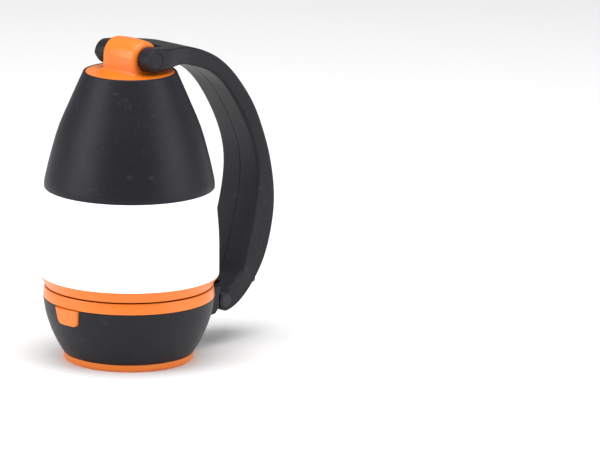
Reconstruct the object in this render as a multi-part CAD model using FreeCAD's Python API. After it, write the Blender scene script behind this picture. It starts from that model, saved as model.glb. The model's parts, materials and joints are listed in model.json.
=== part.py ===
import FreeCAD, Part
import math
import os

os.makedirs("parts", exist_ok=True)
V = FreeCAD.Vector

# ---------------------------------------------------------------- driving dimensions (mm)
body_radius = 44.1        # widest radius of the lamp body, at the foot of the diffuser
overall_height = 159.5    # bezel face to the top of the orange post
handle_width = 34.0       # width of the handle at its hinge
grip_width = 26.0         # width of the handle along its upper arch
fork_width = 37.4         # width over the two arms at the top pivot
post_width = 22.0         # width of the orange post between the arms
post_radius = 9.0         # round of the post about the pivot
hinge_pin_radius = 2.0
pivot_pin_radius = 2.5
knuckle_radius = 5.0      # round of the lower hinge
knuckle_width = 11.8      # middle knuckle of the base
latch_width = 15.5        # release button at its top edge
latch_height = 8.6
latch_travel = 1.5
slider_length = 26.5
slider_width = 11.3
slider_travel = 6.5
slider_corner = 2.2
cell_radius = 5.25        # three small round cells lie around the reflector
cell_length = 44.5
wall = 1.9                # moulded wall thickness
side_gap = 0.3            # gap between faces that turn past each other
pin_gap = 0.06            # radial running clearance of a pin
seat = 0.05               # gap between parts seated in one another
split_gap = 0.45          # gap between the lamp head and the base when closed

# ---------------------------------------------------------------- sizes that follow from them
wide = body_radius / 44.1
tall = overall_height / 159.5
pivot = (0.0, overall_height - post_radius)
hinge = (body_radius + 7.1, 22.2 * tall)
clear_ring = body_radius * 0.9297
split_height = 37.15 * tall
sweep = math.hypot(clear_ring, pivot[1] - split_height) + split_gap
cell_offset = min(24.8 * wide, math.sqrt((37.45 * wide) ** 2 - (cell_length / 2) ** 2) - cell_radius)
cell_height = 20.5 * tall
arm_inner = post_width / 2 + side_gap
cover_gap = 0.3
cover_wall = 1.6
cover_low = sweep + cover_gap + cover_wall
roof = pivot[1] - 7.4


def dish_height(radius, distance):
    """Height of a ball surface centred on the top pivot."""
    return pivot[1] - math.sqrt(distance ** 2 - radius ** 2)
lug_half = handle_width / 2


def scaled(points):
    """Points of a side view, stretched with the overall sizes."""
    return [(x * wide, z * tall) for x, z in points]


def wire_xz(path, y=0.0):
    """Closed wire at constant y; a list inside the path is a smooth run of points."""
    edges = []
    first = None
    last = None
    for item in path:
        run = item if isinstance(item, list) else [item]
        pts = [V(x, y, z) for x, z in run]
        if first is None:
            first = pts[0]
        elif (pts[0] - last).Length > 1e-6:
            edges.append(Part.makeLine(last, pts[0]))
        if len(pts) > 1:
            curve = Part.BSplineCurve()
            curve.interpolate(pts)
            edges.append(curve.toShape())
        last = pts[-1]
    if (last - first).Length > 1e-6:
        edges.append(Part.makeLine(last, first))
    return Part.Wire(edges)


def turned(path):
    """Solid of revolution about the lamp axis from (radius, height) points."""
    return Part.Face(wire_xz(path)).revolve(V(0, 0, 0), V(0, 0, 1), 360)


def slab(path, y0, y1):
    """Side-view outline stretched from y0 to y1."""
    return Part.Face(wire_xz(path, y0)).extrude(V(0, y1 - y0, 0))


def rod_y(radius, x, z, y0, y1):
    """Round rod along Y."""
    return Part.makeCylinder(radius, y1 - y0, V(x, y0, z), V(0, 1, 0))


def rod_z(radius, x, y, z0, z1):
    """Round rod along Z."""
    return Part.makeCylinder(radius, z1 - z0, V(x, y, z0), V(0, 0, 1))


def block(x0, x1, y0, y1, z0, z1):
    """Box from its two corners."""
    return Part.makeBox(x1 - x0, y1 - y0, z1 - z0, V(x0, y0, z0))


def inset(points, depth):
    """Moves a rising profile towards the axis by depth, along its own normals."""
    moved = []
    for k in range(len(points)):
        a = points[max(k - 1, 0)]
        b = points[min(k + 1, len(points) - 1)]
        length = math.hypot(b[0] - a[0], b[1] - a[1])
        x = points[k][0] - depth * (b[1] - a[1]) / length
        z = points[k][1] + depth * (b[0] - a[0]) / length
        moved.append((x, z))
    return moved


def around(shape, count, start=0.0):
    """Copies of a shape, evenly turned about the lamp axis."""
    copies = []
    for k in range(count):
        item = shape.copy()
        item.rotate(V(0, 0, 0), V(0, 0, 1), start + 360.0 * k / count)
        copies.append(item)
    return copies


def save(name, shapes):
    """Writes one node, as one solid or as a group of separate solids."""
    items = shapes if isinstance(shapes, list) else [shapes]
    solids = []
    for item in items:
        solids.extend(item.Solids)
    whole = solids[0] if len(solids) == 1 else Part.makeCompound(solids)
    whole.exportStep("parts/" + name + ".step")


# ---------------------------------------------------------------- torch end
bezel_top = 3.65 * tall
rim = 32.0 * wide
collar = rim - 2.0
save("bezel_ring", turned([
    (collar - 1.6, 0.0), (rim - 0.9, 0.0), (rim - 0.3, 0.6), (rim, bezel_top),
    (collar, bezel_top), (collar, bezel_top + 4.3), (collar - 1.6, bezel_top + 4.3)]))

bore = collar - 1.6 - seat
lens_radius = bore - 0.8
save("lens_retainer", turned([
    (bore, 0.35), (bore, 4.9), (bore - 0.65, 4.9), (bore - 0.65, 2.7),
    (bore - 3.0, 2.7), (bore - 3.0, 1.9)]))
save("torch_lens", turned([(0, 2.8), (lens_radius, 2.8), (lens_radius, 4.6), (0, 4.6)]))
seal = Part.makeTorus(bore - 1.75, 0.65, V(0, 0, 5.3), V(0, 0, 1))
save("lens_seal", seal)

dish_rim = bore - 3.75
dish_floor = dish_rim * 0.423
dish_low = 6.0
board_thick = 1.6
dish_high = min(24.0 * tall, dish_height(0, cover_low) - board_thick - 0.4)
dish = []
for k in range(9):
    z = dish_low + (dish_high - dish_low) * k / 8.0
    share = (dish_high - z) / (dish_high - dish_low)
    dish.append((math.sqrt(dish_floor ** 2 + (dish_rim ** 2 - dish_floor ** 2) * share), z))
outside = [(r + 1.1, z) for r, z in reversed(dish)]
outside[-1] = (dish_rim + 1.1, dish_low + 1.0)
save("torch_reflector", turned([
    dish, outside, (bore - 0.1, dish_low + 1.0), (bore - 0.1, dish_low)]))
board_low = dish_high + 0.1
led_radius = dish_floor - 0.7
save("torch_led_board", turned([
    (0, board_low), (15.0, board_low), (15.0, board_low + board_thick), (0, board_low + board_thick)]))
save("torch_led", turned([
    (0, board_low - seat), [(0, board_low - 2.9), (led_radius * 0.5, board_low - 2.5),
    (led_radius * 0.85, board_low - 1.6), (led_radius, board_low - 0.9)],
    (led_radius, board_low - seat)]))

# ---------------------------------------------------------------- base
step_height = 31.2 * tall
lip_in = 37.8 * wide
lip_out = 39.6 * wide
ring_top = dish_height(clear_ring + 0.1, sweep + seat)
inner_top = dish_height(lip_in + 0.2, sweep + seat)
lip_top = inner_top - 0.23
bowl = scaled([(32.0, 3.8), (35.0, 8.8), (38.2, 15.6), (40.7, 23.4), (42.0, 31.2)])
bowl_in = inset(bowl[:4], wall)
hollow_path = [(0, -5), (collar + 0.1, -5), bowl_in, (lip_in, 27.5 * tall), (lip_in, 60), (0, 60)]
hollow = turned(hollow_path)
shell = turned([
    (collar + 0.1, bowl[0][1]), bowl, (lip_out, step_height), (lip_out, lip_top),
    (lip_in, lip_top), (lip_in, 27.5 * tall), list(reversed(bowl_in))])

hx, hz = hinge
face_x = hx - knuckle_radius - 0.8
saddle_top = step_height - 0.4
saddle = slab([
    (33 * wide, hz - 5.4), (face_x - 2.6, hz - 5.0), (face_x, hz - 2.4), (face_x, hz + 4.4),
    (face_x + 1.5, saddle_top), (33 * wide, saddle_top)], -lug_half, lug_half)
for side in (-1, 1):
    edge_y = side * (lug_half + 0.1)
    corner = [
        V(face_x - 3.0, edge_y, -5), V(face_x + 9.0, edge_y, -5),
        V(face_x + 9.0, side * (lug_half - 6.0), -5)]
    saddle = saddle.cut(Part.Face(Part.makePolygon(corner + corner[:1])).extrude(V(0, 0, 60)))
saddle = saddle.cut(hollow)
half_knuckle = knuckle_width / 2
knuckle = rod_y(knuckle_radius, hx, hz, -half_knuckle, half_knuckle)
web = slab([
    (face_x - 2, hz + knuckle_radius), (hx, hz + knuckle_radius), (hx, hz - 3.0),
    (face_x - 2, hz - 3.0)], -half_knuckle, half_knuckle)
base = shell.fuse([saddle, web, knuckle])
base = base.cut(rod_y(hinge_pin_radius + pin_gap, hx, hz, -20, 20))

latch_top = step_height - 0.2
latch_low = step_height - latch_height
key_gap = 0.25


def latch_outline(grow):
    """Front view of the release button: straight top, tapered sides, rounded foot."""
    half = latch_width / 2 + grow
    foot = latch_width / 2 - 1.3 + grow
    low = latch_low - grow
    pts = [(-half, latch_top + grow), (half, latch_top + grow), (foot + 0.35, low + 2.6)]
    for k in range(5):
        a = math.radians(-18 - 18 * k)
        pts.append((foot - 2.3 + 2.6 * math.cos(a), low + 2.6 + 2.6 * math.sin(a)))
    rest = [(-y, z) for y, z in reversed(pts[2:])]
    return pts + rest


def key_prism(grow, x0, x1):
    """Button outline carried along X."""
    pts = [V(x0, y, z) for y, z in latch_outline(grow)]
    return Part.Face(Part.makePolygon(pts + [pts[0]])).extrude(V(x1 - x0, 0, 0))


base = base.cut(key_prism(key_gap, -60 * wide, -32 * wide))
save("base_bowl", base.removeSplitter())

proud = inset(bowl, -1.35)
skin = turned([(0, proud[0][1]), proud, (proud[-1][0] + 0.1, 40), (0, 40)])
flange_x = -(lip_in - 1.6)
key = key_prism(0.0, -60 * wide, flange_x + 0.2).common(skin)
flange = block(flange_x, flange_x + 1.4, -9, 9, latch_low + 0.6, step_height - 0.7)
key = key.fuse(flange)
save("latch_button", key.removeSplitter())

save("base_trim_ring", turned([
    (lip_out + 0.1, step_height + seat), (42.0 * wide, step_height + seat),
    (clear_ring + 0.45, ring_top - 0.3), (clear_ring + 0.1, ring_top),
    (lip_in + 0.2, inner_top), (lip_in + 0.2, lip_top + seat), (lip_out + 0.1, lip_top + seat)]))

# ---------------------------------------------------------------- battery bay inside the base
tray_low = 13.8 * tall
tray_in = 21.8 * wide
post_ring = 33.5 * wide
tray = turned([
    (tray_in, tray_low), (bowl_in[2][0] - 2.2, tray_low), (bowl_in[2][0] + 0.1, cell_height),
    (tray_in, cell_height)])
contact_gap = 0.9
trough_half = cell_length / 2 + contact_gap
trough = rod_y(cell_radius + side_gap, cell_offset, cell_height, -trough_half, trough_half)
tray = tray.cut(around(trough, 3, 60)[0])
for item in around(trough, 3, 60)[1:]:
    tray = tray.cut(item)
post_r = 2.6
post_top = dish_height(post_ring - post_r, cover_low) - 0.1
for item in around(rod_z(post_r, post_ring, 0, tray_low + 3.0, post_top), 3):
    tray = tray.fuse(item)
screw_holes = around(rod_z(0.95, post_ring, 0, post_top - 8.6, post_top + 9), 3)
for item in screw_holes:
    tray = tray.cut(item)
coil_radius = 2.0
wire_radius = 0.28
room_top = dish_height(tray_in + 8.2, cover_low) - 0.2
spring_z = min((cell_height + 5.3 + latch_top) / 2 + 0.1, room_top - coil_radius - wire_radius)
spring_seat = block(
    -tray_in - 9.8, -tray_in - 8.2, -3.5, 3.5, cell_height + 5.8, min(latch_top - 0.5, room_top))
rib = block(-tray_in - 9.8, -tray_in - 8.2, -3.5, 3.5, tray_low, cell_height + 5.9)
spring_x = -tray_in - 9.8
tray = tray.fuse(spring_seat.fuse(rib))
tray = tray.cut(around(trough, 3, 60)[1])
save("battery_tray", tray.removeSplitter())

nub = rod_y(1.9, cell_offset, cell_height, cell_length / 2 - 1.01, cell_length / 2)
can = rod_y(cell_radius, cell_offset, cell_height, -cell_length / 2, cell_length / 2 - 1.0)
save("battery_cells", around(can.fuse(nub).removeSplitter(), 3, 60))
plate = block(
    cell_offset - 3.6, cell_offset + 3.2, cell_length / 2 + 0.15, cell_length / 2 + 0.55,
    cell_height - 3.4, cell_height + 3.4)
other = plate.mirror(V(0, 0, 0), V(0, 1, 0))
save("battery_contacts", around(plate, 3, 60) + around(other, 3, 60))

cover_rim = lip_in - 0.25
top_run = []
low_run = []
for k in range(9):
    r = cover_rim * k / 8.0
    top_run.append((r, dish_height(r, sweep + cover_gap)))
    low_run.append((r, dish_height(r, cover_low)))
cover = turned([top_run, list(reversed(low_run))])
for item in around(rod_z(1.2, post_ring, 0, 20, 50), 3):
    cover = cover.cut(item)
sink = dish_height(post_ring, sweep + cover_gap) - 0.75
for item in around(rod_z(2.3, post_ring, 0, sink, 50), 3):
    cover = cover.cut(item)
save("battery_cover", cover)
cover_screw = rod_z(2.1, post_ring, 0, sink + 0.05, sink + 0.55)
cover_screw = cover_screw.fuse(rod_z(0.9, post_ring, 0, post_top - 7.6, sink + 0.1))
save("battery_cover_screws", around(cover_screw.removeSplitter(), 3))

coil_length = spring_x - (flange_x + 1.4) - 2 * wire_radius - 0.2
turns = 3.5
helix = Part.makeHelix(coil_length / turns, coil_length, coil_radius)
section = Part.Wire(Part.makeCircle(wire_radius, V(coil_radius, 0, 0), V(0, 1, 0)))
coil = Part.Wire(helix.Edges).makePipeShell([section], True, True)
coil.rotate(V(0, 0, 0), V(0, 1, 0), -90)
coil.translate(V(spring_x - wire_radius - 0.1, 0, spring_z))
save("latch_spring", coil)

hinge_pin = rod_y(hinge_pin_radius, hx, hz, -lug_half + 1.2, lug_half - 1.2)
hinge_pin = hinge_pin.fuse(rod_y(3.0, hx, hz, -lug_half + 0.2, -lug_half + 1.3))
save("hinge_pin", hinge_pin.removeSplitter())

# ---------------------------------------------------------------- handle
stations = [
    ((55.0, 18.1), (53.5, 28.2), 34.0, 31.0), ((61.5, 21.2), (58.0, 29.9), 33.6, 30.0),
    ((69.0, 27.5), (62.3, 32.3), 32.6, 28.6), ((75.6, 34.6), (65.2, 36.8), 31.2, 27.6),
    ((81.0, 43.2), (67.3, 44.0), 29.8, 26.9), ((84.3, 53.5), (70.5, 53.5), 29.2, 26.6),
    ((86.4, 64.0), (73.5, 64.0), 28.8, 26.4), ((86.4, 75.0), (75.8, 75.0), 28.3, 26.0),
    ((84.9, 85.0), (76.4, 84.0), 27.7, 25.5), ((82.6, 94.8), (75.4, 92.7), 27.1, 25.0),
    ((78.5, 106.0), (72.2, 102.4), 26.6, 24.5), ((73.0, 118.0), (66.4, 113.4), 26.2, 24.1),
    ((66.0, 127.6), (60.0, 123.0), 26.0, 24.0), ((58.0, 137.0), (52.6, 132.0), 26.0, 24.0),
    ((49.0, 144.3), (44.0, 138.2), 26.0, 24.0), ((42.0, 148.1), (38.0, 140.6), 26.0, 24.0),
    ((35.0, 151.0), (32.0, 142.4), 26.0, 24.0), ((28.5, 152.9), (27.3, 143.9), 26.0, 24.4),
    ((22.0, 154.2), (21.0, 145.2), 26.0, 24.8)]


def width_at(value):
    """Width of the handle, kept in step with its two driving widths."""
    share = (value - 26.0) / 8.0
    return grip_width + (handle_width - grip_width) * share


def handle_point(point):
    """Side-view point of the handle; near the hinge it keeps its place about the pin."""
    x, z = point
    near = max(0.0, min(1.0, (70.0 - z) / 40.0)) if x > 45 else 0.0
    plain = (x * wide, z * tall)
    fixed = (hx + x - 51.2, hz + z - 22.2)
    return (plain[0] + (fixed[0] - plain[0]) * near, plain[1] + (fixed[1] - plain[1]) * near)


def cross_section(station, depth):
    """Flat outer face, crisp edge, softly rounded back; depth insets it for the cavity."""
    outer = handle_point(station[0])
    inner = handle_point(station[1])
    length = math.hypot(outer[0] - inner[0], outer[1] - inner[1])
    nx = (outer[0] - inner[0]) / length
    nz = (outer[1] - inner[1]) / length
    run = length - 2 * depth
    half = width_at(station[2]) / 2 - depth
    low = half - (station[2] - station[3]) / 2
    side = [(0.0, half), (0.45, half - 0.6), (0.8, half * 0.45 + low * 0.55), (1.0, low)]
    ring = side + [(t, -y) for t, y in reversed(side)]
    pts = []
    for t, y in ring:
        reach = depth + run * t
        pts.append(V(outer[0] - nx * reach, y, outer[1] - nz * reach))
    return Part.Wire(Part.makePolygon(pts + [pts[0]]))


arc = Part.makeLoft([cross_section(s, 0.0) for s in stations], True, False)
cavity_low = Part.makeLoft([cross_section(s, wall) for s in stations[5:11]], True, False)
cavity_high = Part.makeLoft([cross_section(s, wall) for s in stations[11:17]], True, False)

first_out = handle_point(stations[0][0])
first_in = handle_point(stations[0][1])
lug = rod_y(knuckle_radius, hx, hz, -lug_half, lug_half)
lug_root = slab([
    (hx, hz - knuckle_radius), (first_out[0] + 0.4, first_out[1] + 0.2),
    (first_in[0] + 0.4, first_in[1] - 0.4), (hx, hz + knuckle_radius)], -lug_half, lug_half)

px, pz = pivot
arm_radius = 6.0
last_out = handle_point(stations[-1][0])
last_in = handle_point(stations[-1][1])
fork_half = fork_width / 2
fork_side = slab([
    (px, pz + arm_radius), (last_out[0] + 0.2, last_out[1]), (last_out[0] + 6, last_out[1] - 1.3),
    (last_in[0] + 6, last_in[1] - 1.0), (last_in[0] - 3, pz - 5.2), (px, pz - arm_radius)],
    -fork_half, fork_half)
fork_side = fork_side.fuse(rod_y(arm_radius, px, pz, -fork_half, fork_half))
grip_half = grip_width / 2
plan = [
    (px - 20, fork_half), (px + 9, fork_half), (px + 26, grip_half - 0.2), (px + 60, grip_half - 0.2),
    (px + 60, -grip_half + 0.2), (px + 26, -grip_half + 0.2), (px + 9, -fork_half), (px - 20, -fork_half)]
plan_pts = [V(x, y, pz - 40) for x, y in plan]
fork = fork_side.common(Part.Face(Part.makePolygon(plan_pts + [plan_pts[0]])).extrude(V(0, 0, 80)))

# the switch sits on a flat platform; along, out and across are its own directions
tilt = math.radians(79.0)
along = (math.cos(tilt), math.sin(tilt))
out = (math.sin(tilt), -math.cos(tilt))
centre = handle_point((82.3, 41.5))


def at_switch(s, n):
    """Side-view point at s along the platform and n out of it."""
    return (centre[0] + s * along[0] + n * out[0], centre[1] + s * along[1] + n * out[1])


def switch_box(s0, s1, half, n0, n1):
    """Box lined up with the platform."""
    path = [at_switch(s0, n0), at_switch(s1, n0), at_switch(s1, n1), at_switch(s0, n1)]
    return slab(path, -half, half)


def switch_pad(s0, s1, half, corner, n0, n1):
    """The same box with rounded upright corners."""
    pad = switch_box(s0 + corner, s1 - corner, half, n0, n1)
    pad = pad.fuse(switch_box(s0, s1, half - corner, n0, n1))
    for s in (s0 + corner, s1 - corner):
        x, z = at_switch(s, n0)
        for y in (corner - half, half - corner):
            pad = pad.fuse(Part.makeCylinder(corner, n1 - n0, V(x, y, z), V(out[0], 0, out[1])))
    return pad.removeSplitter()


def switch_frame(s0, s1, half, n):
    """Rectangle in a plane parallel to the platform."""
    pts = []
    for s, y in ((s0, -half), (s1, -half), (s1, half), (s0, half)):
        x, z = at_switch(s, n)
        pts.append(V(x, y, z))
    return Part.Wire(Part.makePolygon(pts + [pts[0]]))


reach = slider_length / 2
pocket_low = -reach - 0.6
pocket_high = reach + slider_travel + 0.9
flat_half = slider_width / 2 + 2.55
platform = Part.makeLoft([
    switch_frame(pocket_low - 2.2, pocket_high + 2.2, flat_half, 0.0),
    switch_frame(pocket_low - 5.6, pocket_high + 4.2, flat_half + 3.0, -10.0)], True, True)
chin = Part.makeLoft([
    switch_frame(pocket_low - 2.2, 0.0, flat_half, 0.0),
    switch_frame(pocket_low - 6.7, -5.0, flat_half + 4.0, -13.4)], True, True)
handle = arc.fuse([lug, lug_root, fork, platform, chin])
handle = handle.cut(switch_box(pocket_low, pocket_high + 2.6, flat_half, 0.0, 8.0))
handle = handle.cut(switch_pad(
    pocket_low, pocket_high, slider_width / 2 + side_gap, slider_corner + side_gap, -2.0, 8.0))

slot = rod_y(knuckle_radius + 1.3, hx, hz, -half_knuckle - side_gap, half_knuckle + side_gap)
slot = slot.fuse(block(
    hx - 20, hx, -half_knuckle - side_gap, half_knuckle + side_gap, hz - 12, hz + 12))
handle = handle.cut(slot)
handle = handle.cut(rod_y(hinge_pin_radius + pin_gap, hx, hz, -30, 30))
handle = handle.cut(rod_y(3.1, hx, hz, -lug_half - 1, -lug_half + 1.35))
handle = handle.cut(block(px - 20, px + post_radius + 2, -arm_inner, arm_inner, pz - 12, pz + 12))
handle = handle.cut(rod_y(pivot_pin_radius + seat, px, pz, -30, 30))
for side in (-1, 1):
    y0 = min(side * (fork_half - 1.1), side * (fork_half + 1))
    handle = handle.cut(rod_y(4.1 + seat, px, pz, y0, y0 + 2.1))

screw_spots = [
    (at_switch(-reach - 1.0, -3.3), slider_width / 2 + 1.35),
    (handle_point((78.5, 66.0)), handle_width / 2 - 6.0),
    (handle_point((66.0, 119.0)), grip_half - 3.5),
    (handle_point((24.4, 150.0)), grip_half - 3.0)]
for cavity in (cavity_low, cavity_high):
    room = cavity
    for spot, seat_y in screw_spots[1:]:
        room = room.cut(rod_y(2.9, spot[0], spot[1], -30, 30))
    handle = handle.cut(room)
handle = handle.cut(switch_box(-8.6, 15.6, 6.2, -11.6, -3.6))
handle = handle.cut(switch_box(-2.6, 2.6 + slider_travel, 1.8, -5.0, -1.0))
for spot, seat_y in screw_spots:
    handle = handle.cut(rod_y(1.5, spot[0], spot[1], seat_y, 40))
    handle = handle.cut(rod_y(0.85, spot[0], spot[1], -7.0, seat_y + 0.1))
seam = 0.05
big = 200 * max(wide, tall)
save("handle_left_half", handle.common(block(-big, big, seam, big, -big, big)))
save("handle_right_half", handle.common(block(-big, big, -big, -seam, -big, big)))

screws = []
for spot, seat_y in screw_spots:
    head = rod_y(1.4, spot[0], spot[1], seat_y + seat, seat_y + 1.1)
    screws.append(head.fuse(rod_y(0.8, spot[0], spot[1], -6.4, seat_y + 0.1)).removeSplitter())
save("handle_screws", screws)

pins = []
caps = []
for side in (-1, 1):
    a = side * 4.0
    b = side * (fork_half - 1.2)
    pins.append(rod_y(pivot_pin_radius, px, pz, min(a, b), max(a, b)))
    a = side * (fork_half - 1.05)
    b = side * (fork_half + 0.1)
    caps.append(rod_y(4.1, px, pz, min(a, b), max(a, b)))
save("pivot_pins", pins)
save("pivot_caps", caps)

# ---------------------------------------------------------------- slide switch
wave = [
    (-reach, 0.5), (-reach * 0.83, 1.5), (-reach * 0.45, 0.9), (-2.2, 1.7), (0.0, 2.9),
    (2.2, 1.7), (reach * 0.45, 0.9), (reach * 0.83, 1.5), (reach, 0.5)]
top = [at_switch(s, n) for s, n in wave]
slider = slab([at_switch(-reach, -1.8), top, at_switch(reach, -1.8)], -slider_width / 2, slider_width / 2)
slider = slider.common(switch_pad(-reach, reach, slider_width / 2, slider_corner, -3.0, 6.0))
slider = slider.fuse(switch_box(-2.0, 2.0, 1.5, -4.9, -1.7))
save("switch_slider", slider.removeSplitter())
save("switch_body", switch_box(-4.0, 4.0 + slider_travel, 4.0, -9.2, -5.2))
save("switch_board", switch_box(-8.0, 15.0, 5.6, -10.9, -9.3))

# ---------------------------------------------------------------- lamp head
white_low = 42.65 * tall
white_top = 85.75 * tall
glow = scaled([(44.1, 42.65), (43.9, 60.6), (43.0, 72.8), (41.7, 85.75)])
glow_in = inset(glow, 1.6)
glow_in[0] = (glow_in[0][0], 44.5 * tall)
glow_in[-1] = (glow_in[-1][0], 84.0 * tall)
lip = 39.3 * wide
save("diffuser", turned([
    glow, (lip, white_top), (lip, white_top + 3.2), (lip - 1.4, white_top + 3.2),
    (lip - 1.4, white_top - 1.2), list(reversed(glow_in)), (glow_in[0][0] - 0.4, white_low)]))

ring_in = clear_ring - 1.0
ring_low = split_height
ring_high = white_low - seat
save("head_ring", turned([
    (ring_in, ring_low), (clear_ring, ring_low), (clear_ring + 0.3, ring_low + 0.35),
    [(clear_ring + 0.3, ring_low + 0.35), (clear_ring + 1.1, ring_low + 2.2), (body_radius, ring_high)],
    (body_radius - 1.9, ring_high), (body_radius - 1.9, ring_high - 1.1),
    (ring_in, ring_low + 2.4)]))

cone_low = 85.8 * tall
cone = [
    (r * wide, cone_low + (z - 85.8) * (roof - cone_low) / 57.3)
    for r, z in [(41.7, 85.8), (41.3, 90.0), (38.5, 102.0), (34.6, 115.4), (28.7, 129.5), (22.75, 143.1)]]
cone_in = inset(cone, 1.8)
cone_in[0] = (cone_in[0][0], cone[0][1])
disc = 21.7 * wide
cone_in[-1] = (22.3 * wide, roof - 3.7)
save("cone_shell", turned([
    cone, (disc + 0.1, roof), (disc + 0.1, roof - 1.9), (disc - 4.7, roof - 1.9),
    (disc - 4.7, roof - 3.7), list(reversed(cone_in))]))

cap = turned([
    (0, roof - 1.85), (disc, roof - 1.85),
    [(disc, roof - 0.2), (disc * 0.72, roof + 0.15), (disc * 0.4, roof + 0.35), (0, roof + 0.4)]])
half_post = post_width / 2
post_edge = 1.7
post_crown = 0.75


def post_reach(y):
    """Half thickness of the post at y: crowned in the middle and rounded at both ends."""
    near = max(0.0, post_edge - (half_post - abs(y)))
    drop = post_edge - math.sqrt(max(0.0, post_edge ** 2 - near ** 2))
    return post_radius - post_crown * (y / half_post) ** 2 - drop


def post_plan(grow, z):
    """Plan of the post at height z, grown all round."""
    places = [0, 0.3, 0.6, 0.84, 0.9, 0.95, 0.985, 1]
    places = [-k for k in reversed(places[1:])] + places
    side = [V(post_reach(k * half_post) + grow, k * (half_post + grow), z) for k in places]
    other = [V(-p.x, p.y, z) for p in reversed(side)]
    curves = []
    for run in (side, other):
        curve = Part.BSplineCurve()
        curve.interpolate(run)
        curves.append(curve.toShape())
    return Part.Wire([
        curves[0], Part.makeLine(side[-1], other[0]), curves[1], Part.makeLine(other[-1], side[0])])


column = Part.Face(post_plan(0, roof + 1.9)).extrude(V(0, 0, pz - roof - 1.9))
foot = Part.makeLoft([
    post_plan(1.4, roof - 0.6), post_plan(1.4, roof + 0.25), post_plan(0.75, roof + 0.55),
    post_plan(0.25, roof + 1.1), post_plan(0, roof + 2.0)], True, True)
barrel = turned([
    (0, -half_post), (post_reach(half_post), -half_post),
    [(post_reach(k * half_post), k * half_post) for k in (
        -1, -0.985, -0.95, -0.9, -0.84, -0.6, -0.3, 0, 0.3, 0.6, 0.84, 0.9, 0.95, 0.985, 1)],
    (0, half_post)])
barrel.rotate(V(0, 0, 0), V(1, 0, 0), 90)
barrel.translate(V(px, 0, pz))
cap = cap.fuse([column, foot, barrel])
spigot = turned([
    (disc - 7.0, roof - 4.6), (disc - 4.8, roof - 4.6), (disc - 4.8, roof - 1.8), (disc - 7.0, roof - 1.8)])
cap = cap.fuse(spigot)
cap = cap.cut(rod_y(pivot_pin_radius + pin_gap, px, pz, -20, 20))
save("head_cap", cap.removeSplitter())

plate_z = white_top + 3.3
plate_r = lip - 0.3
save("upper_reflector", turned([
    (0, plate_z + 3.0), (plate_r - 3, plate_z), (plate_r, plate_z), (plate_r, plate_z + 1.0),
    (plate_r - 3, plate_z + 1.0), (0, plate_z + 4.0)]))
floor_low = split_height + 0.25
floor_r = ring_in - 0.1
screw_ring = 34.0 * wide
floor = turned([(0, floor_low), (floor_r, floor_low), (floor_r, floor_low + 2.0), (0, floor_low + 2.0)])
standoff = rod_z(3.0, screw_ring, 0, floor_low + 1.9, floor_low + 3.2)
led_plate = turned([
    (0, floor_low + 3.25), (screw_ring + 3.5, floor_low + 3.25), (screw_ring + 3.5, floor_low + 4.75),
    (0, floor_low + 4.75)])
for item in around(standoff, 3, 60):
    floor = floor.fuse(item)
for item in around(rod_z(1.55, screw_ring, 0, floor_low - 1, floor_low + 9), 3, 60):
    floor = floor.cut(item)
    led_plate = led_plate.cut(item)
for item in around(rod_z(2.8, screw_ring, 0, floor_low - 1, floor_low + 1.35), 3, 60):
    floor = floor.cut(item)
save("head_floor", floor.removeSplitter())
save("lantern_led_board", led_plate)
floor_screw = rod_z(2.6, screw_ring, 0, floor_low + 0.1, floor_low + 1.3)
floor_screw = floor_screw.fuse(rod_z(1.4, screw_ring, 0, floor_low + 1.2, floor_low + 6.2))
save("floor_screws", around(floor_screw.removeSplitter(), 3, 60))
led = block(20.4 * wide, 20.4 * wide + 3.5, -1.4, 1.4, floor_low + 4.8, floor_low + 5.8)
save("lantern_leds", around(led, 12))
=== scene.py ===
import json
import math

import bmesh
import bpy
import numpy as np
from mathutils import Matrix, Vector


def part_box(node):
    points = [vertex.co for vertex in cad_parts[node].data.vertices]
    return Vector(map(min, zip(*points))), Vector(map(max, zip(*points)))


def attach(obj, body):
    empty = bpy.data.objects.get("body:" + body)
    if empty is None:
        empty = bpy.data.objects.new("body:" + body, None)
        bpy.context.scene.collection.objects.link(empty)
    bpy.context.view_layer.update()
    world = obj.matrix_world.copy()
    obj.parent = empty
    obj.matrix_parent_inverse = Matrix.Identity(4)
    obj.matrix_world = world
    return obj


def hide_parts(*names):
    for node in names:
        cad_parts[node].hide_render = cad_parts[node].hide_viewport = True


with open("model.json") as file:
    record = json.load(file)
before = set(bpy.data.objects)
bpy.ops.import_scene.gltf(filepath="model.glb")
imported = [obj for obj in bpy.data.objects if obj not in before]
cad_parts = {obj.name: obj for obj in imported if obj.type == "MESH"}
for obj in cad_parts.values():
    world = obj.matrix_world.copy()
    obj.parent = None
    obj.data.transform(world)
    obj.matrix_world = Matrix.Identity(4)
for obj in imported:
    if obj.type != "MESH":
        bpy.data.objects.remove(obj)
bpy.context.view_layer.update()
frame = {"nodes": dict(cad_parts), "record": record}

nodes = frame["nodes"]
joint = {j["name"]: j for j in frame["record"]["behaviour"]["joints"]}
MM = 0.001

# ---------------------------------------------------------------- cone shell
# The matt black upper shell of the lamp head. It is one injection moulding in ABS with a fine
# spark-eroded grain; its lower rim drops over the diffuser and its top holds the orange cap.


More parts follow.
